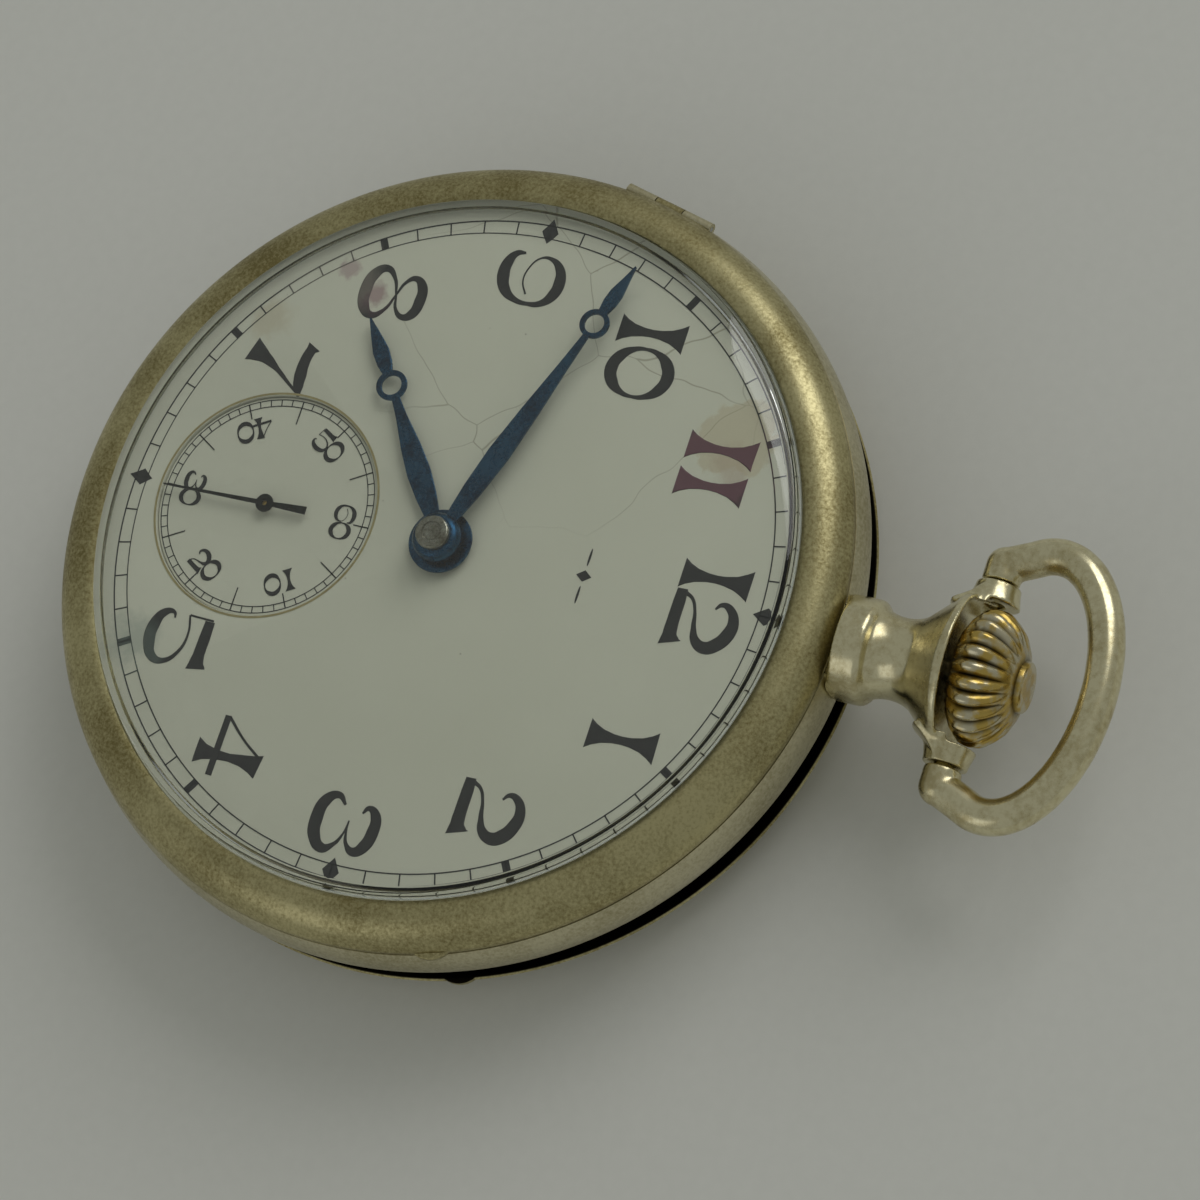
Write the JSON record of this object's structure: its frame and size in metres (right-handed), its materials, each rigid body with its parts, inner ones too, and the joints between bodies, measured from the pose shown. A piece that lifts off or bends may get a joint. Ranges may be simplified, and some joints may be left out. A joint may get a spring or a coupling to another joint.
{
  "type": "pocket watch",
  "caption": "Open-face pocket watch lying on its back: round nickel case, white enamel dial with sunk seconds, ringed blue hands, fluted crown and an oval bow.",
  "frame": {"origin": "centre of the flat on the back cover, where the watch rests", "axes": "+Z out of the dial, +Y from the dial's centre to 12 o'clock and the pendant, +X to 3 o'clock"},
  "size_m": [0.049, 0.0647, 0.0124],
  "materials": {
    "nickel": "brushed nickel silver, tarnished warm",
    "nickel_polished": "polished nickel silver",
    "cuvette": "plain nickel",
    "gilt_crown": "worn gilding",
    "glass": "polished glass",
    "enamel": "fired enamel",
    "blued": "blued steel",
    "steel": "polished steel",
    "gilt_brass": "frosted gilt",
    "ruby": "polished ruby"
  },
  "bodies": {
    "case": {"case_band": "nickel", "bezel_hinge_pin": "steel", "back_hinge_pin": "steel", "dust_hinge_pin": "steel", "pendant": "nickel_polished", "keyless_posts": "steel", "main_plate": "gilt_brass", "barrel_bridge": "gilt_brass", "train_bridge": "gilt_brass", "balance_cock": "gilt_brass", "pallet_cock": "gilt_brass", "jewels": "ruby", "bridge_screws": "steel", "click_post": "steel", "click_spring": "steel", "dial": "enamel", "seconds_dial": "enamel"},
    "bezel_lid": {"bezel": "nickel", "crystal": "glass"},
    "back_lid": {"back_cover": "nickel"},
    "dust_lid": {"dust_cover": "cuvette"},
    "bow_loop": {"bow": "nickel_polished"},
    "centre": {"centre_wheel": "gilt_brass", "cannon_pinion": "steel", "minute_hand": "blued", "hand_collet": "blued", "centre_cap": "steel"},
    "hour": {"hour_wheel": "gilt_brass", "hour_hand": "blued"},
    "minute_work": {"minute_wheel": "gilt_brass"},
    "setting": {"setting_wheel": "steel"},
    "third": {"third_wheel": "gilt_brass"},
    "fourth": {"fourth_wheel": "gilt_brass", "seconds_hand": "blued"},
    "escape": {"escape_wheel": "gilt_brass"},
    "going_barrel": {"barrel": "gilt_brass", "mainspring": "steel"},
    "ratchet": {"ratchet_wheel": "steel", "barrel_arbor": "steel"},
    "crown_gear": {"contrate_wheel": "steel", "crown_wheel": "steel"},
    "winder": {"winding_pinion": "steel"},
    "stem": {"winding_stem": "steel", "crown": "gilt_crown"},
    "slider": {"sliding_pinion": "steel"},
    "lever": {"setting_lever": "steel"},
    "yoke": {"setting_yoke": "steel"},
    "pallets": {"pallet_fork": "steel"},
    "balance": {"balance_wheel": "gilt_brass", "balance_staff": "steel", "hairspring": "blued"},
    "pawl": {"click": "steel"}
  },
  "joints": [
    {"name": "bezel_open", "type": "hinge", "parent": "case", "child": "bezel_lid", "pos_m": [-0.0233, 0.00624, 0.0081], "axis": [-0.2588, -0.9659, 0], "range_deg": [0, 105]},
    {"name": "back_open", "type": "hinge", "parent": "case", "child": "back_lid", "pos_m": [-0.0233, 0.00624, 0.0033], "axis": [0.2588, 0.9659, 0], "range_deg": [0, 100]},
    {"name": "dust_open", "type": "hinge", "parent": "case", "child": "dust_lid", "pos_m": [-0.02154, 0.00577, 0.0026], "axis": [0.2588, 0.9659, 0], "range_deg": [0, 75]},
    {"name": "bow_turn", "type": "hinge", "parent": "case", "child": "bow_loop", "pos_m": [0, 0.0318, 0.0068], "axis": [1, 0, 0], "range_deg": [-100, 85]},
    {"name": "centre_turn", "type": "hinge", "parent": "case", "child": "centre", "pos_m": [0, 0, 0.0064], "axis": [0, 0, -1], "continuous": true},
    {"name": "hour_turn", "type": "hinge", "parent": "case", "child": "hour", "pos_m": [0, 0, 0.0064], "axis": [0, 0, -1], "continuous": true},
    {"name": "minute_work_turn", "type": "hinge", "parent": "case", "child": "minute_work", "pos_m": [0, 0.0042, 0.0064], "axis": [0, 0, -1], "continuous": true},
    {"name": "setting_turn", "type": "hinge", "parent": "case", "child": "setting", "pos_m": [0, 0.00989, 0.0064], "axis": [0, 0, -1], "continuous": true},
    {"name": "third_turn", "type": "hinge", "parent": "case", "child": "third", "pos_m": [0.00115, -0.0062, 0.0064], "axis": [0, 0, -1], "continuous": true},
    {"name": "fourth_turn", "type": "hinge", "parent": "case", "child": "fourth", "pos_m": [0, -0.0116, 0.0064], "axis": [0, 0, -1], "continuous": true},
    {"name": "escape_turn", "type": "hinge", "parent": "case", "child": "escape", "pos_m": [0.00491, -0.01036, 0.0064], "axis": [0, 0, -1], "continuous": true},
    {"name": "barrel_turn", "type": "hinge", "parent": "case", "child": "going_barrel", "pos_m": [-0.00764, 0.00441, 0.0064], "axis": [0, 0, -1], "continuous": true},
    {"name": "crown_turn", "type": "hinge", "parent": "case", "child": "winder", "pos_m": [0, 0.01684, 0.0068], "axis": [0, 1, 0], "continuous": true},
    {"name": "crown_pull", "type": "slide", "parent": "winder", "child": "stem", "axis": [0, 1, 0], "range_m": [0, 0.001]},
    {"name": "slider_shift", "type": "slide", "parent": "winder", "child": "slider", "axis": [0, 1, 0], "range_m": [-0.0008, 0]},
    {"name": "crown_gear_turn", "type": "hinge", "parent": "case", "child": "crown_gear", "pos_m": [0, 0.01354, 0.0024], "axis": [0, 0, 1], "continuous": true},
    {"name": "ratchet_turn", "type": "hinge", "parent": "case", "child": "ratchet", "pos_m": [-0.00764, 0.00441, 0.0024], "axis": [0, 0, 1], "continuous": true},
    {"name": "lever_turn", "type": "hinge", "parent": "case", "child": "lever", "pos_m": [0.0034, 0.01869, 0.0084], "axis": [0, 0, -1], "range_deg": [0, 16.85]},
    {"name": "yoke_turn", "type": "hinge", "parent": "case", "child": "yoke", "pos_m": [-0.005, 0.01479, 0.0084], "axis": [0, 0, -1], "range_deg": [0, 11.75]},
    {"name": "pallet_rock", "type": "hinge", "parent": "case", "child": "pallets", "pos_m": [0.00661, -0.00777, 0.0064], "axis": [0, 0, 1], "range_deg": [-5, 5]},
    {"name": "balance_swing", "type": "hinge", "parent": "case", "child": "balance", "pos_m": [0.00914, -0.00393, 0.0064], "axis": [0, 0, 1], "range_deg": [-135, 135], "stiffness_Nm_per_rad": 0.00000064},
    {"name": "click_turn", "type": "hinge", "parent": "case", "child": "pawl", "pos_m": [-0.01119, -0.00357, 0.0024], "axis": [0, 0, -1], "range_deg": [0, 8]}
  ],
  "couplings": [
    {"joint": "third_turn", "follows": "fourth_turn", "ratio": -0.13333},
    {"joint": "centre_turn", "follows": "fourth_turn", "ratio": 0.016667},
    {"joint": "escape_turn", "follows": "fourth_turn", "ratio": -10},
    {"joint": "hour_turn", "follows": "fourth_turn", "ratio": 0.0013889},
    {"joint": "minute_work_turn", "follows": "fourth_turn", "ratio": -0.0055556},
    {"joint": "setting_turn", "follows": "fourth_turn", "ratio": 0.0068966},
    {"joint": "barrel_turn", "follows": "fourth_turn", "ratio": -0.0027778},
    {"joint": "crown_gear_turn", "follows": "crown_turn", "ratio": 0.36667},
    {"joint": "ratchet_turn", "follows": "crown_turn", "ratio": -0.23269},
    {"joint": "slider_shift", "follows": "crown_pull", "ratio": -0.8},
    {"joint": "lever_turn", "follows": "crown_pull", "rad_per_m": 294.12},
    {"joint": "yoke_turn", "follows": "crown_pull", "rad_per_m": 205.13},
    {"joint": "dust_open", "follows": "back_open", "ratio": 0.75}
  ]
}
